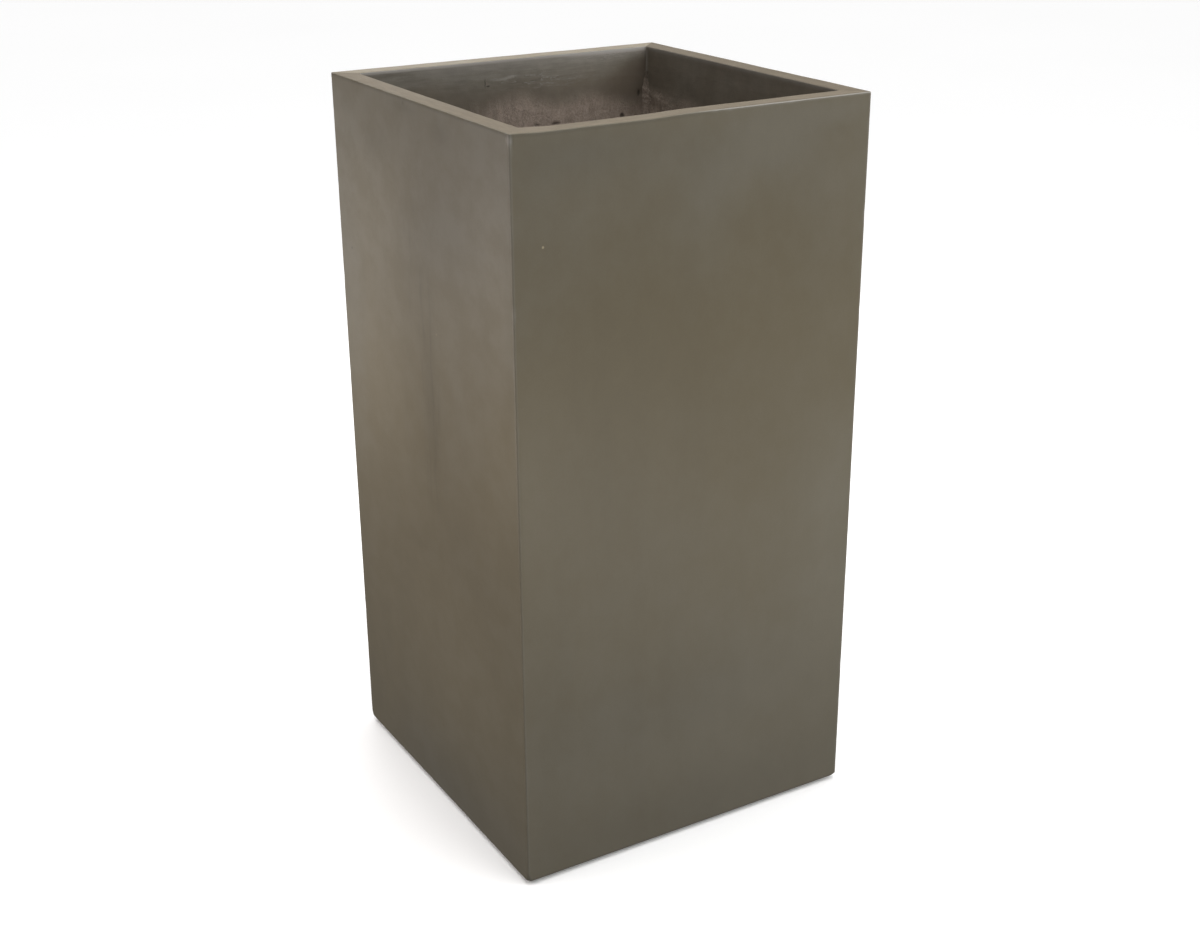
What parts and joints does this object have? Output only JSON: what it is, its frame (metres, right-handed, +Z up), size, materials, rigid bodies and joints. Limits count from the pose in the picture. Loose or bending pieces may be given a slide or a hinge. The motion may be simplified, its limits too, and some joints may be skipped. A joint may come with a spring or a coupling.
{
  "type": "concrete planter",
  "caption": "Tall square open-topped floor planter of mitred concrete panels on a base slab with mortar fillets, rubber feet and a pull-out drain plug.",
  "frame": {"origin": "centre of the footprint, on the floor under the rubber feet", "axes": "+Z up, -Y out of the front wall, +X to the right seen from the front"},
  "size_m": [0.4, 0.4, 0.779],
  "materials": {
    "wall_concrete": "smooth sealed olive-grey concrete, lighter and brushed on the rim, raw and sandy inside",
    "base_concrete": "raw cast concrete",
    "mortar": "coarse hand-pressed mortar",
    "plug_rubber": "moulded, matt",
    "foot_rubber": "moulded, matt"
  },
  "bodies": {
    "planter": {"wall_front": "wall_concrete", "wall_right": "wall_concrete", "wall_back": "wall_concrete", "wall_left": "wall_concrete", "base_slab": "base_concrete", "corner_fillet_front_left": "mortar", "corner_fillet_front_right": "mortar", "corner_fillet_back_right": "mortar", "corner_fillet_back_left": "mortar", "base_fillet_front": "mortar", "base_fillet_right": "mortar", "base_fillet_back": "mortar", "base_fillet_left": "mortar", "foot_front_left": "foot_rubber", "foot_front_right": "foot_rubber", "foot_back_right": "foot_rubber", "foot_back_left": "foot_rubber"},
    "plug": {"drain_plug": "plug_rubber"}
  },
  "joints": [
    {"name": "plug_lift", "type": "slide", "parent": "planter", "child": "plug", "axis": [0, 0, 1], "range_m": [0, 0.8]}
  ]
}
